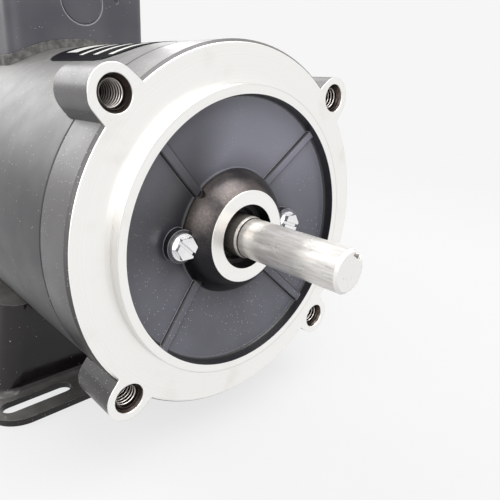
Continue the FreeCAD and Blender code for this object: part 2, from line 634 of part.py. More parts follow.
def make_retainer_screw(angle, slot_turn):
    """Slotted hex washer screw that holds the bearing retainer from the front."""
    shoulder = SCREW_BOSS_DEPTH - SCREW_WASHER_WALL
    top = shoulder - SCREW_HEX_HEIGHT
    head = hexagon(SCREW_HEX, top, shoulder, SCREW_RING_R, angle)
    washer = rod(SCREW_WASHER_R, shoulder, SCREW_BOSS_DEPTH, SCREW_RING_R, angle)
    shank = rod(SCREW_R, SCREW_BOSS_DEPTH, BEARING_BACK + RETAINER_WALL, SCREW_RING_R, angle)
    centre = at(SCREW_RING_R, top, angle)
    slot = Part.makeBox(2 * SCREW_WASHER_R, SCREW_SLOT_DEPTH, SCREW_SLOT_WIDTH,
                        centre - V(SCREW_WASHER_R, 0, SCREW_SLOT_WIDTH / 2))
    slot.rotate(centre, BACK, slot_turn)
    return joined(head, [washer, shank]).cut(slot)


def make_through_bolt(angle):
    """Long bolt that draws the rear shield and the shell against the front shield."""
    tip = SEAM_DEPTH + SPIGOT_LENGTH - BOLT_GRIP
    shank = rod(BOLT_R, tip, REAR_WALL_BACK, BOLT_RING_R, angle)
    head = hexagon(BOLT_HEX, REAR_WALL_BACK, REAR_WALL_BACK + BOLT_HEX_HEIGHT, BOLT_RING_R, angle)
    return joined(shank, [head])


def make_wave_spring():
    """Wavy washer that preloads the rear bearing."""
    room = (SPRING_ROOM - SPRING_WALL) / 2
    middle = REAR_BEARING_BACK + room
    steps = SPRING_WAVES * SPRING_STEPS

    def rim(radius):
        points = [at(radius, middle + room * math.cos(math.radians(SPRING_WAVES * angle)), angle)
                  for angle in evenly(steps)]
        curve = Part.BSplineCurve()
        curve.interpolate(points, PeriodicFlag=True)
        return curve.toShape()

    washer = Part.makeRuledSurface(rim(SPRING_BORE_R), rim(BEARING_R - LOOSE))
    return washer.extrude(BACK * SPRING_WALL)


def make_fan():
    """Moulded fan: hub, disc and straight blades that work in either direction."""
    disc_back = FAN_DEPTH + FAN_DISC_WALL
    bore_r = SHAFT_TAIL_R + SEAT
    body = turned([(bore_r, FAN_DEPTH), (FAN_R, FAN_DEPTH), (FAN_R, disc_back), (FAN_HUB_R, disc_back),
                   (FAN_HUB_R, FAN_BACK), (bore_r, FAN_BACK)])
    root = (FAN_HUB_R + bore_r) / 2
    outline = [V(root, 0, 0), V(FAN_R, 0, 0), V(FAN_R, FAN_WIDTH / 2, 0),
               V(FAN_R - FAN_WIDTH / 2, FAN_WIDTH, 0), V(root, FAN_WIDTH, 0)]
    blade = Part.Face(Part.makePolygon(outline + outline[:1])).extrude(UP * FAN_BLADE_WALL)
    blade.translate(at(0, FAN_DEPTH) - UP * (FAN_BLADE_WALL / 2))
    return joined(body, [spun(blade, angle) for angle in evenly(FAN_BLADE_COUNT)])


def make_retaining_ring():
    """Open spring ring in the groove behind the fan."""
    inner = SHAFT_TAIL_R - RETAINING_GROOVE + SEAT
    outer = inner + RETAINING_RING_WIDTH
    start = FAN_BACK
    end = FAN_BACK + RETAINING_RING_WALL
    corners = [at(inner, start), at(outer, start), at(outer, end), at(inner, end)]
    section = Part.Face(Part.makePolygon(corners + corners[:1]))
    return section.revolve(at(0, 0), FORWARD, FULL_TURN - RETAINING_RING_GAP)


def make_fan_cover():
    """Drawn steel cover with rounded edge, pierced by two rings of air slots."""
    cover = turned([(COVER_BORE_R, COVER_DEPTH), (COVER_R, COVER_DEPTH), (COVER_R, COVER_BACK),
                    (0, COVER_BACK), (0, COVER_BACK - COVER_WALL), (COVER_BORE_R, COVER_BACK - COVER_WALL)])
    cover = cover.makeFillet(COVER_ROUND, rims(cover, COVER_R, COVER_BACK))
    cover = cover.makeFillet(COVER_ROUND - COVER_WALL, rims(cover, COVER_BORE_R, COVER_BACK - COVER_WALL))
    cutters = []
    start = COVER_BACK - 2 * COVER_WALL
    end = COVER_BACK + COVER_WALL
    inner = GRILLE_CENTRE_R
    for count in GRILLE_COUNTS:
        outer = inner + GRILLE_SLOT_LENGTH
        opening = Part.makeBox(GRILLE_SLOT_LENGTH, end - start, GRILLE_SLOT_WIDTH,
                               at(inner, start) - UP * (GRILLE_SLOT_WIDTH / 2))
        opening = opening.fuse([rod(GRILLE_SLOT_WIDTH / 2, start, end, ring) for ring in (inner, outer)])
        cutters += [spun(opening, angle) for angle in evenly(count)]
        inner = outer + GRILLE_SLOT_WIDTH + GRILLE_ROW_GAP
    cutters += [spoke(COVER_SCREW_R + LOOSE, COVER_BORE_R - LOOSE, COVER_R + LOOSE, COVER_SCREW_PLACE, angle)
                for angle in COVER_SCREW_ANGLES]
    return cover.cut(cutters)


def make_cover_screw(angle):
    """Screw that holds the fan cover to the rear shield's rim."""
    shank = spoke(COVER_SCREW_R, REAR_RIM_BORE_R - COVER_SCREW_TIP, COVER_R, COVER_SCREW_PLACE, angle)
    head = spoke(COVER_SCREW_HEAD_R, COVER_R, COVER_R + COVER_SCREW_HEAD, COVER_SCREW_PLACE, angle)
    return joined(shank, [head])


def make_base():
    """Pressed base: a hollow saddle under the shell on a flange with four slots across the shaft."""
    shoulder = SHAFT_HEIGHT - SADDLE_DROP
    foot = rounded_outline(SADDLE_FOOT_HALF_X, SADDLE_FOOT_HALF_Y, BASE_MIDDLE, 0, SADDLE_CORNER)
    top = rounded_outline(SADDLE_TOP_HALF_X, SADDLE_TOP_HALF_Y, BASE_MIDDLE, shoulder, SADDLE_CORNER)
    saddle = Part.makeLoft([foot, top], True, True)
    inner_corner = SADDLE_CORNER - BASE_WALL
    inner_foot = rounded_outline(SADDLE_FOOT_HALF_X - BASE_WALL, SADDLE_FOOT_HALF_Y - BASE_WALL,
                                 BASE_MIDDLE, 0, inner_corner)
    inner_top = rounded_outline(SADDLE_TOP_HALF_X - BASE_WALL, SADDLE_TOP_HALF_Y - BASE_WALL,
                                BASE_MIDDLE, shoulder - BASE_WALL, inner_corner)
    hollow = Part.makeLoft([inner_foot, inner_top], True, True)
    flange = rounded_block(BASE_HALF_WIDTH, BASE_HALF_LENGTH, BASE_MIDDLE, 0, BASE_WALL, BASE_CORNER)
    base = flange.fuse(saddle)
    bend = [edge for edge in base.Edges
            if abs(edge.BoundBox.ZMin - BASE_WALL) < SEAT and edge.BoundBox.ZLength < SEAT
            and abs(edge.BoundBox.Center.x) + edge.BoundBox.XLength / 2 < BASE_HALF_WIDTH - SEAT
            and abs(edge.BoundBox.Center.y) + edge.BoundBox.YLength / 2 < BASE_HALF_LENGTH - SEAT]
    base = base.makeFillet(BASE_BEND, bend)
    base = base.cut(rod(SADDLE_R, SEAM_DEPTH, REAR_DEPTH))
    hollow = hollow.cut(rod(SADDLE_R + BASE_WALL, SEAM_DEPTH, REAR_DEPTH))
    slots = [long_slot(side_x * FOOT_SPACING_X / 2, BASE_MIDDLE + side_y * FOOT_SPACING_Y / 2,
                       FOOT_SLOT_LENGTH, FOOT_SLOT_WIDTH, 0, BASE_WALL)
             for side_x in (-1, 1) for side_y in (-1, 1)]
    return base.cut([hollow] + slots)


def box_posts(radius, bottom, top):
    """The four corners of the conduit box where the lid screws go."""
    inset = BOX_WALL + POST_R - SEAT
    reach_x = BOX_HALF_WIDTH - inset
    reach_y = BOX_LENGTH / 2 - inset
    return [post(radius, side_x * reach_x, BOX_MIDDLE + side_y * reach_y, bottom, top)
            for side_x in (-1, 1) for side_y in (-1, 1)]


def make_conduit_box():
    """Conduit box with a curved floor, lid posts, ground boss, knockout groove and dimple."""
    half_y = BOX_LENGTH / 2
    outside = rounded_block(BOX_HALF_WIDTH, half_y, BOX_MIDDLE, SHAFT_HEIGHT, BOX_TOP, BOX_CORNER)
    inside = rounded_block(BOX_HALF_WIDTH - BOX_WALL, half_y - BOX_WALL, BOX_MIDDLE, SHAFT_HEIGHT, BOX_TOP,
                           BOX_CORNER - BOX_WALL)
    box = outside.cut(rod(BOX_SEAT_R, SEAM_DEPTH, REAR_DEPTH))
    box = box.cut(inside.cut(rod(BOX_FLOOR_R, SEAM_DEPTH, REAR_DEPTH)))
    ground_z = SHAFT_HEIGHT + GROUND_RISE
    boss_start = BOX_BACK - BOX_WALL - GROUND_BOSS_LENGTH
    boss = rod(GROUND_BOSS_R, boss_start, BOX_BACK - BOX_WALL / 2, GROUND_RISE, HALF_TURN / 2)
    box = box.fuse(box_posts(POST_R, BOX_TOP - POST_LENGTH, BOX_TOP) + [boss])
    front_y = FACE_Y + BOX_DEPTH
    knockout = V(0, front_y, SHAFT_HEIGHT + KNOCKOUT_RISE)
    ring = Part.makeCylinder(KNOCKOUT_R, KNOCKOUT_DEPTH, knockout, BACK)
    ring = ring.cut(Part.makeCylinder(KNOCKOUT_R - KNOCKOUT_GROOVE, KNOCKOUT_DEPTH, knockout, BACK))
    dimple = Part.makeCylinder(DIMPLE_R, KNOCKOUT_DEPTH, V(DIMPLE_X, front_y, SHAFT_HEIGHT + DIMPLE_RISE), BACK)
    cutters = [ring, dimple, post(LEAD_PASS_R, 0, LEAD_DEPTH, SHAFT_HEIGHT, SHAFT_HEIGHT + BOX_FLOOR_R)]
    cutters += [spoke(BOX_SCREW_R + LOOSE, BOX_SEAT_R - LOOSE, BOX_FLOOR_R + LOOSE, LEAD_DEPTH, angle)
                for angle in BOX_SCREW_ANGLES]
    cutters += box_posts(LID_SCREW_R + SEAT, BOX_TOP - LID_SCREW_LENGTH, BOX_TOP)
    cutters.append(Part.makeCylinder(GROUND_SCREW_R + SEAT, GROUND_SCREW_LENGTH,
                                     V(0, FACE_Y + boss_start, ground_z), BACK))
    return box.cut(cutters).removeSplitter()


def make_box_gasket():
    """Foam pad between the shell and the conduit box, a little larger than the box."""
    pad = rounded_block(BOX_HALF_WIDTH + BOX_GASKET_LIP, BOX_LENGTH / 2 + BOX_GASKET_LIP, BOX_MIDDLE,
                        SHAFT_HEIGHT, BOX_TOP, BOX_CORNER + BOX_GASKET_LIP)
    pad = pad.common(tube(BOX_SEAT_R - SEAT, FRAME_R + SEAT, SEAM_DEPTH, REAR_DEPTH))
    cutters = [post(LEAD_PASS_R, 0, LEAD_DEPTH, SHAFT_HEIGHT, BOX_TOP)]
    cutters += [spoke(BOX_SCREW_R + LOOSE, FRAME_R - LOOSE, BOX_SEAT_R + LOOSE, LEAD_DEPTH, angle)
                for angle in BOX_SCREW_ANGLES]
    return pad.cut(cutters)


def make_box_screw(angle):
    """Screw from inside the conduit box into the shell."""
    shank = spoke(BOX_SCREW_R, SHELL_BORE_R - BOX_SCREW_TIP, BOX_FLOOR_R, LEAD_DEPTH, angle)
    head = spoke(BOX_SCREW_HEAD_R, BOX_FLOOR_R, BOX_FLOOR_R + BOX_SCREW_HEAD, LEAD_DEPTH, angle)
    return joined(shank, [head])


def make_lid_gasket():
    """Flat gasket under the lid of the conduit box."""
    half_y = BOX_LENGTH / 2
    width = BOX_WALL + 2 * POST_R
    top = BOX_TOP + COVER_GASKET_WALL
    sheet = rounded_block(BOX_HALF_WIDTH, half_y, BOX_MIDDLE, BOX_TOP, top, BOX_CORNER)
    window = rounded_block(BOX_HALF_WIDTH - width, half_y - width, BOX_MIDDLE, BOX_TOP, top, BOX_CORNER - BOX_WALL)
    return sheet.cut([window] + box_posts(LID_SCREW_R + LOOSE, BOX_TOP, top))


def make_lid():
    """Flat lid of the conduit box with a softened upper edge."""
    bottom = BOX_TOP + COVER_GASKET_WALL
    lid = rounded_block(BOX_HALF_WIDTH, BOX_LENGTH / 2, BOX_MIDDLE, bottom, LID_TOP, BOX_CORNER)
    upper = [edge for edge in lid.Edges if edge.BoundBox.ZMin > LID_TOP - SEAT]
    lid = lid.makeFillet(LID_WALL / 2, upper)
    return lid.cut(box_posts(LID_SCREW_R + LOOSE, bottom, LID_TOP))


def make_lid_screws():
    """Four pan-head screws that hold the lid."""
    shanks = box_posts(LID_SCREW_R, BOX_TOP - LID_SCREW_LENGTH, LID_TOP)
    heads = box_posts(LID_SCREW_HEAD_R, LID_TOP, LID_TOP + LID_SCREW_HEAD)
    return [joined(shank, [head]) for shank, head in zip(shanks, heads)]


def make_grommet():
    """Rubber grommet that lines the lead hole in the shell."""
    inside_drop = math.sqrt(SHELL_BORE_R ** 2 - GROMMET_FLANGE_R ** 2)
    lower_top = SHAFT_HEIGHT + inside_drop - SEAT
    upper_bottom = SHAFT_HEIGHT + FRAME_R + SEAT
    body = post(LEAD_HOLE_R - SEAT, 0, LEAD_DEPTH, lower_top - GROMMET_FLANGE, upper_bottom + GROMMET_FLANGE)
    flanges = [post(GROMMET_FLANGE_R, 0, LEAD_DEPTH, bottom, bottom + GROMMET_FLANGE)
               for bottom in (lower_top - GROMMET_FLANGE, upper_bottom)]
    bore = post(GROMMET_BORE_R, 0, LEAD_DEPTH, SHAFT_HEIGHT, BOX_TOP)
    return joined(body, flanges).cut(bore)


def make_leads():
    """Nine insulated leads that rise from the winding into the conduit box."""
    bottom = SHAFT_HEIGHT + END_TURN_BORE_R + END_TURN_HEIGHT + LOOSE
    return [post(LEAD_R, column * LEAD_PITCH, LEAD_DEPTH + row * LEAD_PITCH, bottom, SHAFT_HEIGHT + LEAD_RISE)
            for column in (-1, 0, 1) for row in (-1, 0, 1)]


def make_ground_screw():
    """Hex-head ground screw in the boss on the rear wall of the conduit box."""
    boss_start = BOX_BACK - BOX_WALL - GROUND_BOSS_LENGTH
    shank = rod(GROUND_SCREW_R, boss_start, boss_start + GROUND_SCREW_LENGTH, GROUND_RISE, HALF_TURN / 2)
    head = hexagon(2 * GROUND_HEAD_R, boss_start - GROUND_HEAD, boss_start, GROUND_RISE, HALF_TURN / 2)
    return joined(shank, [head])


os.makedirs("parts", exist_ok=True)
save("front_end_shield", [make_front_shield()])
save("stator_shell", [make_stator_shell()])
save("rear_end_shield", [make_rear_shield()])
save("stator_core", [make_stator_core()])
save("stator_winding", [make_winding()])
save("rotor_core", [make_rotor_core()])
save("rotor_cage", [make_rotor_cage()])
save("shaft", [make_shaft()])
save("shaft_seal", [make_seal()])
make_bearing("front", BEARING_DEPTH)
make_bearing("rear", REAR_BEARING_DEPTH)
save("bearing_retainer", [make_retainer()])
save("retainer_screws", [make_retainer_screw(*place) for place in zip(SCREW_ANGLES, SCREW_SLOT_TURNS)])
save("through_bolts", [make_through_bolt(angle) for angle in BOLT_ANGLES])
save("wave_spring", [make_wave_spring()])
save("cooling_fan", [make_fan()])
save("fan_retaining_ring", [make_retaining_ring()])
save("fan_cover", [make_fan_cover()])
save("fan_cover_screws", [make_cover_screw(angle) for angle in COVER_SCREW_ANGLES])
save("mounting_base", [make_base()])
save("conduit_box", [make_conduit_box()])
save("conduit_box_gasket", [make_box_gasket()])
save("conduit_box_screws", [make_box_screw(angle) for angle in BOX_SCREW_ANGLES])
save("conduit_box_lid", [make_lid()])
save("lid_gasket", [make_lid_gasket()])
save("lid_screws", make_lid_screws())
save("lead_grommet", [make_grommet()])
save("motor_leads", make_leads())
save("ground_screw", [make_ground_screw()])
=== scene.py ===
import json
import math

import bmesh
import bpy
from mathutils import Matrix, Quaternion, Vector


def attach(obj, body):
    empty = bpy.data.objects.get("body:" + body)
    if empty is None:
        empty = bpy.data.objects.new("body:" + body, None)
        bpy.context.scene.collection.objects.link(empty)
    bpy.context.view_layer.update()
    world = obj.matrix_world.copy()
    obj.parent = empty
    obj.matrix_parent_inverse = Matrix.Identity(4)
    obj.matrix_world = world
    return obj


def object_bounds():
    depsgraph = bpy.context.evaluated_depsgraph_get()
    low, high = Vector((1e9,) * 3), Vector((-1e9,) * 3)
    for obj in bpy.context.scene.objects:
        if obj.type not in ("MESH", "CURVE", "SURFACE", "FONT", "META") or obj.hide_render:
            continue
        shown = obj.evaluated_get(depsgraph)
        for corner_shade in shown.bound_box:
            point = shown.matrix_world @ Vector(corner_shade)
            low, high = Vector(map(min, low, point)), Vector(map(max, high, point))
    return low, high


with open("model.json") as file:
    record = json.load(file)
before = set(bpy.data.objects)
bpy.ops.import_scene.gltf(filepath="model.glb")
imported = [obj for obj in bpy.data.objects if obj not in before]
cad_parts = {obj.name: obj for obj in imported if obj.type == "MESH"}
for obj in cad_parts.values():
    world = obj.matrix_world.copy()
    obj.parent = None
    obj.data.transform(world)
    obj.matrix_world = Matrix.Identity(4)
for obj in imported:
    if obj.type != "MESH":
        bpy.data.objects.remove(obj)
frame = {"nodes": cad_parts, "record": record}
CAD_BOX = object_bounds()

# Sizes of the motor in millimetres. The frame is in metres, with the shaft along -Y.
MM = 0.001
MOUNTS = {mount["name"]: mount for mount in frame["record"]["mounts"]}
FACE_Y = MOUNTS["face_ring"]["pos_m"][1] / MM
SHAFT_HEIGHT = MOUNTS["face_register"]["pos_m"][2] / MM
SHAFT_END_Y = CAD_BOX[0][1] / MM
SHAFT_END_EDGE = 1.0
SHAFT_RELIEF = 6.2
KEYWAY_R = 7.6
REGISTER_R = MOUNTS["face_register"]["dims"]["r_mm"]
REGISTER_RISE = MOUNTS["face_register"]["dims"]["length_mm"]
RECESS_R = 53.85
RECESS_WALL = 0.4
FACE_EDGE = 0.25
FACE_EDGE_LOW = 0.8
HUB_RING_R = 18.6
HUB_RING_EDGE = 0.15
HUB_BASE_R = 25.5
SHELL_R = 72.0
KNOCKOUT_R = 11.1
KNOCKOUT_HEIGHT = 182.9
BOX_MIDDLE_Y = 50.0

# The ear holes and their coarse threads. A thread's form, root to crest to root, is in parts of its pitch.
HOLE_R = MOUNTS["face_holes"]["dims"]["hole_r_mm"]
HOLE_OFFSET = MOUNTS["face_holes"]["dims"]["pcd_mm"] / 2 / math.sqrt(2)
HOLE_SINK_R = 6.0
HOLE_SINK_DEPTH = 2.6
THREAD_FROM = 0.9
THREAD_TO = 17.9
THREAD_PITCH = 1.5875
THREAD_RISE = 0.86
THREAD_SUNK = 0.04
THREAD_FORM = (-0.3, -0.09, 0.09, 0.3)
THREAD_STEPS = 40
THREAD_RUN_IN = 0.5
THREAD_LEAST = 0.02

# The label on the shell: from its front to its back behind the face, and its ends as angles round the shell.
LABEL_FRONT = 35.5
LABEL_BACK = 96.0
LABEL_ANGLES = (119.0, 46.0)
LABEL_CORNER = 12.0
LABEL_LIFT = 0.02
LABEL_THICKNESS = 0.15
LABEL_COLUMNS = 96
LABEL_ROWS = 24

# Where painted shade, painted light and stains start and where they are full: heights, radii round the shaft,
# ways from the face.
UNDERSIDE_SHADE_HEIGHTS = (110.0, 75.0)
LOW_SHADE_HEIGHTS = (100.0, 25.0)
TOP_LIGHT_RISE = 35.0
FOOT_SHADE_R = (36.0, 26.0)
SIDE_SHADE_R = (80.0, 24.0)
SIDE_SHADE_REACH = 24.0
SIDE_SHADE_RISE = (-22.0, 4.0)
HOLE_MOUTH = (0.2, 0.5)
HANDLING_STAIN = (-32.0, -9.0)
SHOULDER_RIM = 1.5

# Half widths, in millimetres, of the painted shade lines in the register's corner and the shaft's groove, and
# of the painted highlight round the knockout.
CORNER_SHADE = 0.35
GROOVE_SHADE = 0.3
KNOCKOUT_HIGHLIGHT = 0.45

# How deep the relief of each surface is, in millimetres.
PEEL_RELIEF = 0.12
TURNED_RELIEF = 0.05
SHEET_RELIEF = 0.15
WIRE_RELIEF = 0.3

# The white room. Lamps have places and aims in millimetres, then sizes in metres and powers in watts.
BACKDROP = "#f6f6f6"
ROOM_LIGHT = 0.26
FLOOR_REACH = 6000.0
FLOOR_FADE = (300.0, 1100.0)
SOFTBOXES = {
    "back_softbox": ((-100, 1000, 800), (0, 0, 90), (2.0, 1.0), 18.0),
    "top_softbox": ((200, -700, 1400), (0, -100, 90), (1.2, 1.2), 18.0),
    "side_softbox": ((-950, -800, 700), (0, -100, 90), (1.0, 1.0), 8.0),
}

# The camera, solved from the photograph: its place in millimetres, line of sight, tilt in degrees and lens.
CAMERA_PLACE = (-126.83, -242.14, 145.26)
CAMERA_SIGHT = (0.66403, 0.67483, -0.32196)
CAMERA_TILT = 2.44
CAMERA_LENS = 34.70
CAMERA_SENSOR = 36.0

# Settings that many nodes share.
SMOOTH = {"interpolation_type": "SMOOTHSTEP"}
ABOVE = {"operation": "GREATER_THAN"}
BELOW = {"operation": "LESS_THAN"}
NEAR = {"operation": "COMPARE"}
LARGER = {"operation": "MAXIMUM"}
BEVEL_SAMPLES = 8

# A speck's solid part, how alike normals are on an edge and on a flat, and a diagonal band at scale 1.
SPECK_CORE = 0.6
EDGE_LIKENESS = (0.86, 0.985)
DIAGONAL_BAND = 2 * math.pi / (10 * math.sqrt(3))


# What the finishes are made with.

def linear(hex_colour):
    """A colour written as sRGB hex, as the linear RGBA that sockets take."""
    channels = [int(hex_colour[i:i + 2], 16) / 255 for i in (1, 3, 5)]
    return [c / 12.92 if c <= 0.04045 else ((c + 0.055) / 1.055) ** 2.4 for c in channels] + [1.0]


def cells(size):
    """The pattern scale, per metre, that gives cells of that size in millimetres."""
    return 1 / (size * MM)


def add(tree, kind, inputs=(), **settings):
    """A new node with its settings. Its inputs, in order or by key, are values or other nodes' sockets."""
    node = tree.nodes.new("ShaderNode" + kind)
    for name, value in settings.items():
        setattr(node, name, value)
    pairs = inputs.items() if isinstance(inputs, dict) else enumerate(inputs)
    for key, value in pairs:
        if isinstance(value, bpy.types.NodeSocket):
            tree.links.new(value, node.inputs[key])
        else:
            node.inputs[key].default_value = value
    return node.outputs


def new_finish(name):
    """An empty finish: its material, node tree, and the place on the object in metres."""
    finish = bpy.data.materials.new(name)
    finish.use_nodes = True
    finish.node_tree.nodes.clear()
    return finish, finish.node_tree, add(finish.node_tree, "TexCoord")["Object"]


def finished(finish, **surface):
    """The finish with its surface shader. Names are the shader's sockets with underscores for spaces."""
    sockets = {name.replace("_", " "): value for name, value in surface.items()}
    shader = add(finish.node_tree, "BsdfPrincipled", sockets)
    add(finish.node_tree, "OutputMaterial", {"Surface": shader["BSDF"]})
    return finish


def overlap(tree, share, *others):
    """Where several shares of a surface meet: all of them multiplied."""
    for other in others:
        share = add(tree, "Math", (share, other), operation="MULTIPLY")[0]
    return share


def layered(tree, colour, *layers):
    """A colour with layers over it. Each layer is its own colour and the shares that say where it covers."""
    for over, *shares in layers:
        over = linear(over) if isinstance(over, str) else over
        colour = add(tree, "Mix", {0: overlap(tree, *shares), 6: colour, 7: over}, data_type="RGBA")[2]
    return colour


def clouds(tree, place, size, ends=(0.3, 0.7), levels=(0.0, 1.0), detail=2.0):
    """Soft cloudy variation between two levels, with clouds of that size in millimetres."""
    noise = add(tree, "TexNoise", {"Vector": place, "Scale": cells(size), "Detail": detail})[0]
    return add(tree, "MapRange", (noise, *ends, *levels), **SMOOTH)[0]


def specks(tree, place, spacing, radius, filled):
    """Scattered round specks of that radius. Filled is how many of the cells hold one."""
    cell = add(tree, "TexVoronoi", {"Vector": place, "Scale": cells(spacing)})
    rim = radius / spacing
    dot = add(tree, "MapRange", (cell["Distance"], rim * SPECK_CORE, rim, 1.0, 0.0), **SMOOTH)[0]
    pick = add(tree, "SeparateColor", (cell["Color"],))["Red"]
    return overlap(tree, dot, add(tree, "Math", (pick, filled), **BELOW)[0])


def edges(tree, radius):
    """1 along the edges of a piece and 0 on its flats, with the normal that rounds those edges."""
    rounded = add(tree, "Bevel", {"Radius": radius * MM}, samples=BEVEL_SAMPLES)[0]
    flat = add(tree, "NewGeometry")["Normal"]
    alike = add(tree, "VectorMath", (rounded, flat), operation="DOT_PRODUCT")["Value"]
    return add(tree, "MapRange", (alike, *EDGE_LIKENESS, 1.0, 0.0), **SMOOTH)[0], rounded


def across_shaft(tree, place):
    """The way from the shaft's middle line straight out to a point, in metres."""
    centred = add(tree, "VectorMath", (place, (0, 0, SHAFT_HEIGHT * MM)), operation="SUBTRACT")[0]
    return add(tree, "VectorMath", (centred, (1, 0, 1)), operation="MULTIPLY")[0]


def distance_from_hole(tree, across):
    """How far a point is from the middle line of the nearest ear hole, in metres."""
    quarter = add(tree, "VectorMath", (across,), operation="ABSOLUTE")[0]
    middle = (HOLE_OFFSET * MM, 0, HOLE_OFFSET * MM)
    return add(tree, "VectorMath", (quarter, middle), operation="DISTANCE")["Value"]


# The motor's finishes.

def sprayed_paint(tree, place, tones, edge_wear_and_highlight, dust, peel):
    """Sprayed paint: a little cloudy, dusted, lighter on its edges from wear and a painted highlight and on
    its tops from dust and a painted top light, with orange-peel ripples.
    Peel is the size and strength of the ripples. Gives the colour, the dust specks and the normal."""
    edge, rounded = edges(tree, 0.5)
    rub = clouds(tree, place, 5.0, (0.35, 0.75), detail=4.0)
    drift = clouds(tree, place, 18.0, (0.34, 0.56))
    fine_dust = overlap(tree, specks(tree, place, 1.1, 0.2, dust), drift)
    fleck = add(tree, "Math", (fine_dust, specks(tree, place, 4.2, 0.28, dust / 4)), **LARGER)[0]
    upward = add(tree, "SeparateXYZ", (add(tree, "NewGeometry")["Normal"],))["Z"]
    top_side = add(tree, "MapRange", (upward, 0.1, 0.9), **SMOOTH)[0]
    dust_and_top_light = clouds(tree, place, 7.0, levels=(0.24, 0.34), detail=6.0)
    # The edges are lighter from wear and from a painted highlight, and the tops lighter from dust and a
    # painted top light.
    colour = layered(tree, linear(tones[0]),
                     (tones[1], clouds(tree, place, 28.0)),
                     (edge_wear_and_highlight, edge, rub),
                     ("#e8e6e2", fleck, 0.9),
                     ("#b4b2ae", top_side, dust_and_top_light))
    size, strength = peel
    ripple = add(tree, "TexNoise", {"Vector": place, "Scale": cells(size), "Detail": 3.0})[0]
    relief = {"Height": ripple, "Strength": strength, "Distance": PEEL_RELIEF * MM, "Normal": rounded}
    return colour, fleck, add(tree, "Bump", relief)[0]


def shield_paint(tree, place, across, radius, upward, hub, edge):
    """The shield's paint: charcoal in the recess, grey outside, with painted shade and light, and a scuffed
    hub.
    """
    charcoal, fleck, normal = sprayed_paint(tree, place, ("#5c5c66", "#6a6a74"), "#a5a3a0", 0.6, (1.1, 0.3))
    forward = add(tree, "SeparateXYZ", (add(tree, "NewGeometry")["Normal"],))["Y"]
    height = add(tree, "SeparateXYZ", (place,))["Z"]
    from_middle = add(tree, "SeparateXYZ", (across,))
    outside = add(tree, "Math", (radius, REGISTER_R * MM), **ABOVE)[0]
    recess = add(tree, "Math", (radius, REGISTER_R * MM), **BELOW)[0]
    dish = overlap(tree, add(tree, "Math", (radius, HUB_BASE_R * MM), **ABOVE)[0],
                   add(tree, "Math", (radius, (RECESS_R + RECESS_WALL) * MM), **BELOW)[0])

    # Outside, the grey is darkened on its undersides and towards the floor: painted shade.
    blotch = add(tree, "TexNoise", {"Vector": place, "Scale": cells(14.0), "Detail": 3.0})[0]
    grey = layered(tree, linear("#524f4c"), ("#63605c", blotch), ("#dcdad6", fleck, 0.8))
    underside_shade = add(tree, "MapRange", (upward, 0.15, -0.5), **SMOOTH)[0]
    under_shade_from, under_shade_to = [level * MM for level in UNDERSIDE_SHADE_HEIGHTS]
    low_half = add(tree, "MapRange", (height, under_shade_from, under_shade_to, 0.25, 1.0), **SMOOTH)[0]
    low_shade_from, low_shade_to = [level * MM for level in LOW_SHADE_HEIGHTS]
    low_shade = overlap(tree, outside, add(tree, "MapRange", (height, low_shade_from, low_shade_to, 0.0, 0.9), **SMOOTH)[0])

    # In the recess, painted light makes the upper part lighter, and painted shade spreads from the hub's foot
    # and towards the left.
    top_light = add(tree, "MapRange", (from_middle["Z"], 0.0, TOP_LIGHT_RISE * MM), **SMOOTH)[0]
    foot_ends = [reach * MM for reach in FOOT_SHADE_R]
    foot_shade = overlap(tree, add(tree, "MapRange", (radius, *foot_ends), **SMOOTH)[0], 0.3)
    spread_ends = [reach * MM for reach in SIDE_SHADE_R]
    rise_ends = [rise * MM for rise in SIDE_SHADE_RISE]
    side_shade = overlap(tree, add(tree, "MapRange", (radius, *spread_ends), **SMOOTH)[0],
                     add(tree, "MapRange", (from_middle["X"], 0.0, -SIDE_SHADE_REACH * MM), **SMOOTH)[0],
                     add(tree, "MapRange", (from_middle["Z"], *rise_ends, 0.0, 0.92), **SMOOTH)[0])
    painted_dark = add(tree, "Math", (foot_shade, side_shade), **LARGER)[0]
    # Painted shade darkens the steep sides of the ribs, bosses and recess.
    steep_shade = add(tree, "MapRange", (forward, -0.94, -0.78), **SMOOTH)[0]

    # The hub is darkened below by painted shade, and lighter above with scuffs and a painted sheen.
    hub_under_shade = add(tree, "MapRange", (upward, 0.1, -0.6), **SMOOTH)[0]
    hub_top_sheen_and_scuffs = add(tree, "MapRange", (upward, -0.4, 0.7), **SMOOTH)[0]
    scuff_grain = clouds(tree, place, 0.8, (0.32, 0.72), (0.6, 0.95), detail=9.0)
    scuff_patch = clouds(tree, place, 9.0, (0.35, 0.65), (0.35, 0.75))
    # The pale edges in the dish are a painted highlight on the ribs, bosses and walls.
    colour = layered(tree, charcoal,
                     (grey, outside, 0.75),
                     ("#211f1d", outside, underside_shade, low_half),
                     ("#9f9fae", recess, top_light, 0.75),
                     ("#141419", recess, painted_dark),
                     ("#1f1d1b", low_shade),
                     ("#dcdad6", low_shade, fleck, 0.7),
                     ("#1c1c20", hub, 0.85),
                     ("#111115", dish, steep_shade, 0.95),
                     ("#1e1e22", hub, hub_under_shade),
                     ("#776e69", hub, hub_top_sheen_and_scuffs, scuff_grain, scuff_patch),
                     ("#a9a7ab", dish, edge, 0.85))
    return colour, normal


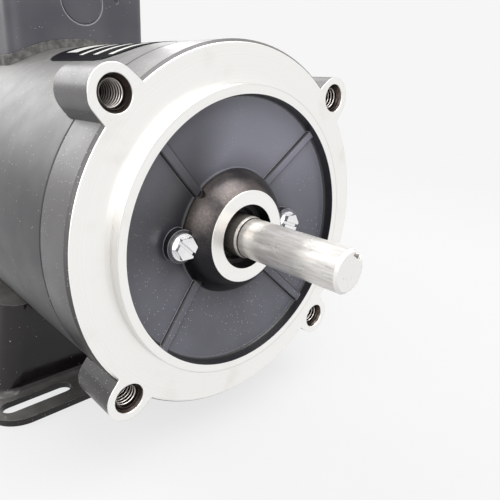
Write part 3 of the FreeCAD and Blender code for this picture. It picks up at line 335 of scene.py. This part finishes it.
def turned_metal(tree, place, radius, depth, hole, rounded):
    """The shield's turned metal: nearly white, with fine rings, pale stains, and painted shade in the holes
    and in the register's corner.
    """
    # Real turning lines are about 0.1 mm apart; these are coarser so that they show.
    lines = {"W": radius, "Scale": cells(0.55), "Detail": 2.0}
    rings = add(tree, "TexNoise", lines, noise_dimensions="1D")[0]
    stain = clouds(tree, place, 16.0, (0.55, 0.8), detail=3.0)
    # Painted shade darkens the mouths of the ear holes, and more so their depths.
    mouth_ends = [(FACE_Y + inward) * MM for inward in HOLE_MOUTH]
    mouth_shade = add(tree, "MapRange", (depth, *mouth_ends), **SMOOTH)[0]
    deep_shade = add(tree, "Math", (depth, (FACE_Y + HOLE_SINK_DEPTH) * MM), **ABOVE)[0]
    # A painted shade line lies in the corner at the foot of the register.
    corner_shade = add(tree, "Math", (radius, REGISTER_R * MM, CORNER_SHADE * MM), **NEAR)[0]
    colour = layered(tree, linear("#f6f5f2"),
                     ("#faf9f7", add(tree, "MapRange", (rings, 0.2, 0.8), **SMOOTH)[0]),
                     ("#e3dbd0", stain, 0.35),
                     ("#5f5550", hole, mouth_shade),
                     ("#2e2927", hole, deep_shade),
                     ("#a8a49f", corner_shade, 0.3))
    polish = add(tree, "MapRange", (rings, 0.3, 0.7, 0.3, 0.36), **SMOOTH)[0]
    relief = {"Height": rings, "Strength": 0.04, "Distance": TURNED_RELIEF * MM, "Normal": rounded}
    return colour, polish, add(tree, "Bump", relief)[0]


def cast_shield():
    """Die-cast aluminium sprayed satin charcoal, then turned bright on its face, register and hub ring.
    The paint keeps the casting's fine grain. The hub is rubbed down to dark metal and gleams softly."""
    finish, tree, place = new_finish("cast_aluminium_charcoal_and_turned")
    across = across_shaft(tree, place)
    radius = add(tree, "VectorMath", (across,), operation="LENGTH")["Value"]
    depth = add(tree, "SeparateXYZ", (place,))["Y"]
    upward = add(tree, "SeparateXYZ", (add(tree, "NewGeometry")["Normal"],))["Z"]
    edge, rounded = edges(tree, 0.4)
    hub = add(tree, "Math", (radius, HUB_BASE_R * MM), **BELOW)[0]
    hole = add(tree, "Math", (distance_from_hole(tree, across), HOLE_SINK_R * MM), **BELOW)[0]

    # The bare face ends at its edge. Below, where a motor is stood on it, the edge is rubbed bare too.
    face_ends = ((FACE_Y + FACE_EDGE) * MM, (FACE_Y + FACE_EDGE_LOW) * MM)
    face_to = add(tree, "MapRange", (upward, -0.05, -0.4, *face_ends), **SMOOTH)[0]
    face = overlap(tree, add(tree, "Math", (radius, RECESS_R * MM), **ABOVE)[0],
                   add(tree, "Math", (depth, face_to), **BELOW)[0])
    ring_to = (FACE_Y - REGISTER_RISE + HUB_RING_EDGE) * MM
    hub_ring = overlap(tree, add(tree, "Math", (radius, HUB_RING_R * MM), **BELOW)[0],
                       add(tree, "Math", (depth, ring_to), **BELOW)[0])
    turned = add(tree, "Math", (face, hub_ring), **LARGER)[0]
    bare = add(tree, "Math", (turned, hole), **LARGER)[0]

    paint, paint_normal = shield_paint(tree, place, across, radius, upward, hub, edge)
    metal, polish, metal_normal = turned_metal(tree, place, radius, depth, hole, rounded)
    satin = clouds(tree, place, 9.0, levels=(0.3, 0.38))
    roughness = add(tree, "Mix", {0: bare, 2: satin, 3: polish})[0]
    normal = add(tree, "Mix", {0: bare, 4: paint_normal, 5: metal_normal}, data_type="VECTOR")[1]
    mirror = add(tree, "Math", (bare, overlap(tree, hub, 0.9)), **LARGER)[0]
    return finished(finish, Base_Color=layered(tree, paint, (metal, bare)), Metallic=mirror,
                    Roughness=roughness, Normal=normal, Specular_IOR_Level=0.6)


def tapped_threads():
    """Threads cut in cast aluminium: bright on their crests and darkened by painted shade in their roots."""
    finish, tree, place = new_finish("tapped_cast_aluminium")
    from_hole = distance_from_hole(tree, across_shaft(tree, place))
    near_crest = (HOLE_R - THREAD_RISE * 0.95) * MM
    half_way = (HOLE_R - THREAD_RISE * 0.5) * MM
    root_shade = add(tree, "MapRange", (from_hole, near_crest, half_way), **SMOOTH)[0]
    wear = add(tree, "TexNoise", {"Vector": place, "Scale": cells(1.5), "Detail": 3.0})[0]
    colour = layered(tree, linear("#efe5de"), ("#fffaf5", wear), ("#2e2724", root_shade))
    roughness = add(tree, "MapRange", (root_shade, 0.0, 1.0, 0.25, 0.5), **SMOOTH)[0]
    return finished(finish, Base_Color=colour, Metallic=0.7, Roughness=roughness)


def painted(name, tones, edge_wear_and_highlight, gloss, dust=0.3, peel=(1.6, 0.2), shine=0.7):
    """Sprayed paint on metal, with its own tones, edge wear and highlight, gloss range, dust, ripple and
    shine.
    """
    finish, tree, place = new_finish(name)
    colour, fleck, normal = sprayed_paint(tree, place, tones, edge_wear_and_highlight, dust, peel)
    sheen = clouds(tree, place, 12.0, levels=gloss)
    roughness = add(tree, "Math", (fleck, 0.3, sheen), operation="MULTIPLY_ADD", use_clamp=True)[0]
    return finished(finish, Base_Color=colour, Roughness=roughness, Normal=normal, Specular_IOR_Level=shine)


def coated_box():
    """Satin powder coat on steel: even and soft, with a painted highlight along the pressed ring of the
    knockout.
    """
    finish, tree, place = new_finish("satin_powder_coat_on_steel")
    coat, fleck, normal = sprayed_paint(tree, place, ("#4d4c53", "#5e5d63"), "#b0aca7", 0.12, (0.9, 0.25))
    flat_place = add(tree, "VectorMath", (place, (1, 0, 1)), operation="MULTIPLY")[0]
    middle = (0, 0, KNOCKOUT_HEIGHT * MM)
    from_middle = add(tree, "VectorMath", (flat_place, middle), operation="DISTANCE")["Value"]
    # The pale ring round the knockout's front is a painted highlight.
    ring = add(tree, "Math", (from_middle, KNOCKOUT_R * MM, KNOCKOUT_HIGHLIGHT * MM), **NEAR)[0]
    front = add(tree, "Math", (add(tree, "SeparateXYZ", (place,))["Y"], BOX_MIDDLE_Y * MM), **BELOW)[0]
    colour = layered(tree, coat, ("#a9a8ac", ring, front, 0.8))
    sheen = clouds(tree, place, 12.0, levels=(0.42, 0.5))
    roughness = add(tree, "Math", (fleck, sheen), **LARGER)[0]
    return finished(finish, Base_Color=colour, Roughness=roughness, Normal=normal)


def ground_shaft():
    """Cold-drawn steel, ground round: fine rings, scratches along it, faint brown stains and a few pits."""
    finish, tree, place = new_finish("ground_carbon_steel")
    radius = add(tree, "VectorMath", (across_shaft(tree, place),), operation="LENGTH")["Value"]
    depth = add(tree, "SeparateXYZ", (place,))["Y"]
    round_side = add(tree, "Math", (depth, (SHAFT_END_Y + SHAFT_END_EDGE) * MM), **ABOVE)[0]
    # Grinding marks are a few hundredths of a millimetre; these are coarser so that they show.
    lines = {"W": depth, "Scale": cells(0.6), "Detail": 2.0}
    rings = add(tree, "TexNoise", lines, noise_dimensions="1D")[0]
    lengthwise = add(tree, "VectorMath", (place, (1, 0.08, 1)), operation="MULTIPLY")[0]
    streak = clouds(tree, lengthwise, 0.7, (0.62, 0.38), detail=4.0)
    stain = clouds(tree, lengthwise, 1.1, (0.42, 0.7), detail=8.0)
    scratch = overlap(tree, clouds(tree, lengthwise, 0.35, (0.64, 0.68)),
                      clouds(tree, place, 5.0, (0.4, 0.55)), round_side)
    pit = specks(tree, place, 2.0, 0.22, 0.4)
    stain_ends = [(FACE_Y + inward) * MM for inward in HANDLING_STAIN]
    near_hub = add(tree, "MapRange", (depth, *stain_ends), **SMOOTH)[0]
    keyway = add(tree, "Math", (radius, KEYWAY_R * MM), **BELOW)[0]
    # Painted shade: the relief groove is a dark line, and the shoulder is darkened behind its bright front
    # rim.
    groove_shade = add(tree, "Math", (depth, (FACE_Y - SHAFT_RELIEF) * MM, GROOVE_SHADE * MM), **NEAR)[0]
    shoulder_shade = add(tree, "Math", (depth, (FACE_Y - SHAFT_RELIEF + SHOULDER_RIM) * MM), **ABOVE)[0]
    colour = layered(tree, linear("#fbfaf8"),
                     ("#efece8", streak, round_side),
                     ("#a89c8f", near_hub, 0.4),
                     ("#a08f80", stain, round_side, 0.32),
                     ("#6a6058", scratch, 0.5),
                     ("#6d6259", keyway, round_side, 0.8),
                     ("#57504b", shoulder_shade, 0.85),
                     ("#4a423c", groove_shade),
                     ("#5b5049", pit, 0.85))
    rounded = add(tree, "Bevel", {"Radius": 0.35 * MM}, samples=BEVEL_SAMPLES)[0]
    dents = add(tree, "Math", (pit, scratch), **LARGER)[0]
    height = add(tree, "Math", (rings, dents), operation="SUBTRACT")[0]
    relief = {"Height": height, "Strength": 0.12, "Distance": TURNED_RELIEF * MM, "Normal": rounded}
    roughness = clouds(tree, place, 5.0, levels=(0.18, 0.28), detail=4.0)
    return finished(finish, Base_Color=colour, Metallic=0.35, Roughness=roughness,
                    Normal=add(tree, "Bump", relief)[0])


def bare_metal(name, tones, gloss, blotch=6.0, grain=0.5, mirror=1.0, painted_dark=0.0):
    """Bare or plated metal: two close tones in blotches, a fine grain in its gloss, and painted shade
    darkening its edges. A dull or roughly cut one mirrors less and scatters more."""
    finish, tree, place = new_finish(name)
    fine_grain = add(tree, "TexNoise", {"Vector": place, "Scale": cells(grain), "Detail": 2.0})[0]
    edge, rounded = edges(tree, 0.2)
    colour = layered(tree, linear(tones[0]),
                     (tones[1], clouds(tree, place, blotch, detail=3.0)),
                     ("#3a3837", edge, painted_dark))
    relief = {"Height": fine_grain, "Strength": 0.1, "Distance": TURNED_RELIEF * MM, "Normal": rounded}
    roughness = add(tree, "MapRange", (fine_grain, 0.3, 0.7, *gloss), **SMOOTH)[0]
    return finished(finish, Base_Color=colour, Metallic=mirror, Roughness=roughness,
                    Normal=add(tree, "Bump", relief)[0])


def stacked_laminations():
    """Electrical steel sheets stacked along the shaft: dark oxide, with a line at each sheet."""
    finish, tree, place = new_finish("oxidised_electrical_steel")
    depth = add(tree, "SeparateXYZ", (place,))["Y"]
    # Sheets are about 0.5 mm thick; a line at each 1 mm shows in the render.
    lines = {"W": depth, "Scale": cells(1.0), "Detail": 2.0}
    sheet = add(tree, "TexNoise", lines, noise_dimensions="1D")[0]
    colour = layered(tree, linear("#3d4148"), ("#6d7178", sheet))
    relief = {"Height": sheet, "Strength": 0.4, "Distance": SHEET_RELIEF * MM}
    roughness = add(tree, "MapRange", (sheet, 0.3, 0.7, 0.4, 0.6), **SMOOTH)[0]
    return finished(finish, Base_Color=colour, Metallic=1.0, Roughness=roughness,
                    Normal=add(tree, "Bump", relief)[0])


def wound_copper():
    """Copper wire under amber enamel, in bundles laid round the core: bright bands under a clear gloss."""
    finish, tree, place = new_finish("enamelled_copper_wire")
    # Wire is about 0.8 mm thick; bands as wide as a bundle of it, 5.8 mm, show in the render.
    bands = {"Vector": place, "Scale": cells(5.8) * DIAGONAL_BAND, "Distortion": 3.0, "Detail": 2.0}
    strand = add(tree, "TexWave", bands, bands_direction="DIAGONAL")[1]
    colour = layered(tree, linear("#5c2a14"), ("#c27644", strand))
    relief = {"Height": strand, "Strength": 0.6, "Distance": WIRE_RELIEF * MM}
    return finished(finish, Base_Color=colour, Metallic=0.6, Roughness=0.35, Coat_Weight=0.5,
                    Normal=add(tree, "Bump", relief)[0])


def soft_part(name, tones, gloss, cell, relief_depth, dust=0.0):
    """Rubber, foam or plastic: two tones and a surface of small cells or moulded grain."""
    finish, tree, place = new_finish(name)
    grain = add(tree, "TexVoronoi", {"Vector": place, "Scale": cells(cell)})["Distance"]
    tone = clouds(tree, place, 4.0, (0.35, 0.65), detail=5.0)
    fleck = specks(tree, place, 2.2, 0.25, dust)
    colour = layered(tree, linear(tones[0]), (tones[1], tone), ("#a5a29c", fleck, 0.5))
    rounded = add(tree, "Bevel", {"Radius": 0.3 * MM}, samples=BEVEL_SAMPLES)[0]
    relief = {"Height": grain, "Strength": 0.4, "Distance": relief_depth * MM, "Normal": rounded}
    roughness = add(tree, "MapRange", (tone, 0.0, 1.0, *gloss), **SMOOTH)[0]
    return finished(finish, Base_Color=colour, Roughness=roughness, Normal=add(tree, "Bump", relief)[0])


def printed_label():
    """Black polyester label with pale printed boxes left blank: satin and flat."""
    finish, tree, place = new_finish("printed_polyester_label")
    spot = add(tree, "SeparateXYZ", (add(tree, "TexCoord")["UV"],))
    # The middle and half size of each box, as parts of the label: a heading and three rows of four.
    blanks = [(0.5, 0.4, 0.79, 0.09)]
    for middle_v in (0.13, 0.33, 0.53):
        blanks += [(middle_u, 0.095, middle_v, 0.03) for middle_u in (0.155, 0.385, 0.615, 0.845)]
    pale = 0.0
    for middle_u, half_u, middle_v, half_v in blanks:
        blank = overlap(tree, add(tree, "Math", (spot["X"], middle_u, half_u), **NEAR)[0],
                        add(tree, "Math", (spot["Y"], middle_v, half_v), **NEAR)[0])
        pale = add(tree, "Math", (pale, blank), **LARGER)[0]
    blotch = add(tree, "TexNoise", {"Vector": place, "Scale": cells(3.0), "Detail": 3.0})[0]
    colour = layered(tree, linear("#0d0d11"), ("#18181d", blotch), ("#dededa", pale))
    grain = add(tree, "TexNoise", {"Vector": place, "Scale": cells(1.2), "Detail": 2.0})[0]
    relief = {"Height": grain, "Strength": 0.05, "Distance": TURNED_RELIEF * MM}
    return finished(finish, Base_Color=colour, Roughness=0.6, Specular_IOR_Level=0.03,
                    Normal=add(tree, "Bump", relief)[0])


# The pieces that the solids leave out: threads and label.

def new_piece(name, mesh, finish, body):
    """A piece of the motor from a bmesh: finished, riding on its body and named for its slot."""
    bmesh.ops.recalc_face_normals(mesh, faces=mesh.faces)
    for face in mesh.faces:
        face.smooth = True
    data = bpy.data.meshes.new(name)
    mesh.to_mesh(data)
    mesh.free()
    data.materials.append(finish)
    piece = bpy.data.objects.new(name, data)
    bpy.context.scene.collection.objects.link(piece)
    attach(piece, body)


def wind_thread(mesh, hole_x, hole_z):
    """One hole's right-hand thread: a ridge wound into the hole that grows out of its wall and sinks back."""
    steps = int((THREAD_TO - THREAD_FROM - THREAD_PITCH) / THREAD_PITCH * THREAD_STEPS)
    rows = []
    for i in range(steps + 1):
        turns = i / THREAD_STEPS
        depth = THREAD_FROM + THREAD_PITCH * (0.5 + turns)
        flare = max(HOLE_SINK_DEPTH - depth, 0) * (HOLE_SINK_R - HOLE_R) / HOLE_SINK_DEPTH
        root_r = HOLE_R + THREAD_SUNK + flare
        turns_left = (steps - i) / THREAD_STEPS
        growth = max(min(1.0, turns / THREAD_RUN_IN, turns_left / THREAD_RUN_IN), THREAD_LEAST)
        crest_r = root_r + (HOLE_R - THREAD_RISE - root_r) * growth
        angle = 2 * math.pi * turns
        row = []
        for reach, shift in zip((root_r, crest_r, crest_r, root_r), THREAD_FORM):
            x = hole_x + reach * math.cos(angle)
            y = FACE_Y + depth + shift * THREAD_PITCH
            z = hole_z - reach * math.sin(angle)
            row.append(mesh.verts.new((x * MM, y * MM, z * MM)))
        rows.append(row)
    for first, second in zip(rows, rows[1:]):
        for i in range(4):
            mesh.faces.new((first[i], first[i - 1], second[i - 1], second[i]))
    mesh.faces.new(rows[0])
    mesh.faces.new(reversed(rows[-1]))


def ear_threads(finish):
    """The threads in the four ear holes."""
    mesh = bmesh.new()
    for side in (-1, 1):
        for level in (-1, 1):
            wind_thread(mesh, side * HOLE_OFFSET, SHAFT_HEIGHT + level * HOLE_OFFSET)
    new_piece("ear_threads", mesh, finish, "motor_frame")


def shell_label(finish):
    """A thin label with rounded corners, bent round the top of the shell."""
    first_angle, last_angle = LABEL_ANGLES
    length = math.radians(first_angle - last_angle) * SHELL_R
    width = LABEL_BACK - LABEL_FRONT
    mesh = bmesh.new()
    uv = mesh.loops.layers.uv.new("UVMap")
    sides = []
    spots = {}
    for reach in (SHELL_R + LABEL_LIFT, SHELL_R + LABEL_LIFT + LABEL_THICKNESS):
        grid = []
        for i in range(LABEL_COLUMNS + 1):
            u = i / LABEL_COLUMNS
            short = max(LABEL_CORNER - min(u, 1 - u) * length, 0)
            inset = LABEL_CORNER - math.sqrt(max(LABEL_CORNER ** 2 - short ** 2, 0))
            angle = math.radians(first_angle + (last_angle - first_angle) * u)
            x = reach * math.cos(angle)
            z = SHAFT_HEIGHT + reach * math.sin(angle)
            column = []
            for j in range(LABEL_ROWS + 1):
                along = inset + (width - 2 * inset) * j / LABEL_ROWS
                vert = mesh.verts.new((x * MM, (FACE_Y + LABEL_FRONT + along) * MM, z * MM))
                spots[vert] = (u, along / width)
                column.append(vert)
            grid.append(column)
        sides.append(grid)
    under, over = sides
    for i in range(LABEL_COLUMNS):
        for j in range(LABEL_ROWS):
            for grid in sides:
                mesh.faces.new((grid[i][j], grid[i + 1][j], grid[i + 1][j + 1], grid[i][j + 1]))
        for j in (0, LABEL_ROWS):
            mesh.faces.new((under[i][j], under[i + 1][j], over[i + 1][j], over[i][j]))
    for j in range(LABEL_ROWS):
        for i in (0, LABEL_COLUMNS):
            mesh.faces.new((under[i][j], under[i][j + 1], over[i][j + 1], over[i][j]))
    for face in mesh.faces:
        for loop in face.loops:
            loop[uv].uv = spots[loop.vert]
    new_piece("shell_label", mesh, finish, "motor_frame")


def finish_motor():
    """Gives each node of the motor its finish, and adds the threads and the label."""
    bearings = [f"{end}_bearing_{part}" for end in ("front", "rear")
                for part in ("outer_ring", "inner_ring", "balls", "cage")]
    finishes = {
        cast_shield(): ["front_end_shield"],
        coated_box(): ["conduit_box", "conduit_box_lid"],
        ground_shaft(): ["shaft"],
        stacked_laminations(): ["stator_core", "rotor_core"],
        wound_copper(): ["stator_winding"],
        # Enamel over a rolled band: smooth, with a soft sheen and light dust.
        painted("semi_gloss_enamel_on_rolled_steel", ("#2e2e31", "#353538"), "#77767a", (0.42, 0.48),
                dust=0.2, shine=0.55): ["stator_shell", "fan_cover"],
        # Enamel over a casting: satin, with the casting's grain and more dust.
        painted("satin_enamel_on_cast_aluminium", ("#36363b", "#404046"), "#8a898a", (0.36, 0.46),
                dust=0.4, peel=(1.1, 0.35)): ["rear_end_shield"],
        # Enamel over a pressing: brown-black and glossy, with long ripples.
        painted("gloss_enamel_on_pressed_steel", ("#161313", "#221d1c"), "#837d7a", (0.1, 0.18),
                dust=0.15, peel=(2.2, 0.12), shine=0.4): ["mounting_base"],
        # Passivated steel: a thin green skin.
        painted("green_passivated_steel", ("#2f6b3c", "#3a7a47"), "#9fb59f", (0.3, 0.4)): ["ground_screw"],
        # Through-hardened and polished: almost a mirror.
        bare_metal("polished_bearing_steel", ("#b7b8ba", "#cfd0d2"), (0.1, 0.18)): bearings,
        # Bright plating: white glints, with painted shade along the edges and in the slots.
        bare_metal("bright_zinc_plated_steel", ("#ececee", "#f6f6f7"), (0.2, 0.26),
                   grain=0.6, mirror=0.85, painted_dark=0.8): ["retainer_screws"],
        # Plain plating: greyer and duller.
        bare_metal("zinc_plated_steel", ("#b9babd", "#c9cacc"), (0.26, 0.36), grain=0.6, painted_dark=0.5):
            ["bearing_retainer", "through_bolts", "fan_cover_screws", "conduit_box_screws", "lid_screws"],
        # Tempered spring steel: a dark blue-grey oxide.
        bare_metal("blued_spring_steel", ("#5b5f66", "#74787e"), (0.25, 0.4)):
            ["wave_spring", "fan_retaining_ring"],
        # Aluminium cast round the rotor bars: pale and dull.
        bare_metal("die_cast_aluminium", ("#b8b9ba", "#cfd0d0"), (0.35, 0.5), blotch=5.0, grain=0.8):
            ["rotor_cage"],
        # Moulded rubber: dark, with a fine matt skin.
        soft_part("moulded_nitrile_rubber", ("#272627", "#363536"), (0.4, 0.55), 0.5, 0.05, dust=0.4):
            ["shaft_seal", "lead_grommet"],
        # Cut foam: open cells at its edges, grey and dusty.
        soft_part("closed_cell_foam", ("#575655", "#82807d"), (0.85, 0.95), 0.9, 0.35, dust=0.5):
            ["conduit_box_gasket", "lid_gasket"],
        # Moulded plastic: a faint grain and a low sheen.
        soft_part("moulded_nylon", ("#1f2022", "#2a2b2d"), (0.4, 0.5), 0.8, 0.05, dust=0.2): ["cooling_fan"],
        # Drawn insulation: smooth and waxy.
        soft_part("drawn_vinyl_insulation", ("#2b2b2e", "#3a3a3d"), (0.4, 0.5), 0.6, 0.04): ["motor_leads"],
    }
    for finish, names in finishes.items():
        for name in names:
            slots = frame["nodes"][name].data.materials
            slots.clear()
            slots.append(finish)
    ear_threads(tapped_threads())
    shell_label(printed_label())


# The studio.

def seen_directly(tree):
    """1 for what the camera sees, itself or in metal and glass, and 0 for light that falls on things."""
    path = add(tree, "LightPath")
    mirrored = add(tree, "Math", (path["Is Glossy Ray"], path["Is Transmission Ray"]), **LARGER)[0]
    return add(tree, "Math", (path["Is Camera Ray"], mirrored), **LARGER)[0]


def lay_floor():
    """A wide pale paper floor that keeps the motor's shadow and fades into the backdrop."""
    mesh = bmesh.new()
    corners = ((-1, -1), (1, -1), (1, 1), (-1, 1))
    reach = FLOOR_REACH * MM
    mesh.faces.new([mesh.verts.new((x * reach, y * reach, 0)) for x, y in corners])
    data = bpy.data.meshes.new("paper_floor")
    mesh.to_mesh(data)
    mesh.free()
    floor = bpy.data.objects.new("paper_floor", data)
    bpy.context.scene.collection.objects.link(floor)
    # Matt white paper: faintly cloudy, and darker for the light that it throws back on the motor.
    finish, tree, place = new_finish("matt_white_paper")
    seen = seen_directly(tree)
    cloud = add(tree, "TexNoise", {"Vector": place, "Scale": cells(120.0), "Detail": 2.0})[0]
    tone = layered(tree, linear("#e6e6e6"), ("#ececec", cloud))
    paper = add(tree, "BsdfDiffuse", {"Color": layered(tree, linear("#949494"), (tone, seen))})["BSDF"]
    glow = add(tree, "Emission", {"Color": linear(BACKDROP), "Strength": 1.0})["Emission"]
    away = add(tree, "VectorMath", (place,), operation="LENGTH")["Value"]
    fade_ends = [reach * MM for reach in FLOOR_FADE]
    fade = overlap(tree, seen, add(tree, "MapRange", (away, *fade_ends, 0.8, 1.0), **SMOOTH)[0])
    add(tree, "OutputMaterial", {"Surface": add(tree, "MixShader", (fade, paper, glow))[0]})
    data.materials.append(finish)


def hang_softbox(name, place, aim, size, power):
    """A softbox of that width and height, at a place and aimed at a point."""
    lamp = bpy.data.lights.new(name, "AREA")
    lamp.shape = "RECTANGLE"
    lamp.size, lamp.size_y = size
    lamp.energy = power
    box = bpy.data.objects.new(name, lamp)
    bpy.context.scene.collection.objects.link(box)
    box.visible_camera = False
    box.location = Vector(place) * MM
    box.rotation_euler = (Vector(aim) - Vector(place)).to_track_quat("-Z", "Y").to_euler()


def light_studio():
    """A white room with three softboxes: a wide one behind, one high in front and a weak one on the left."""
    world = bpy.data.worlds.new("white_room")
    bpy.context.scene.world = world
    world.use_nodes = True
    tree = world.node_tree
    tree.nodes.clear()
    strength = add(tree, "MapRange", (seen_directly(tree), 0.0, 1.0, ROOM_LIGHT, 1.0), **SMOOTH)[0]
    room = add(tree, "Background", {"Color": linear(BACKDROP), "Strength": strength})["Background"]
    add(tree, "OutputWorld", {"Surface": room})
    for name, softbox in SOFTBOXES.items():
        hang_softbox(name, *softbox)


def set_camera():
    """The camera at the photograph's place, a little tilted."""
    view = bpy.data.cameras.new("photo_view")
    view.lens = CAMERA_LENS
    view.sensor_width = CAMERA_SENSOR
    view.clip_start = 0.01
    view.clip_end = 50.0
    camera = bpy.data.objects.new("photo_view", view)
    bpy.context.scene.collection.objects.link(camera)
    camera.location = Vector(CAMERA_PLACE) * MM
    aim = Vector(CAMERA_SIGHT).to_track_quat("-Z", "Y")
    camera.rotation_mode = "QUATERNION"
    camera.rotation_quaternion = aim @ Quaternion((0, 0, 1), math.radians(CAMERA_TILT))
    bpy.context.scene.camera = camera


set_camera()
finish_motor()
lay_floor()
light_studio()
bpy.context.scene.view_settings.view_transform = "Standard"
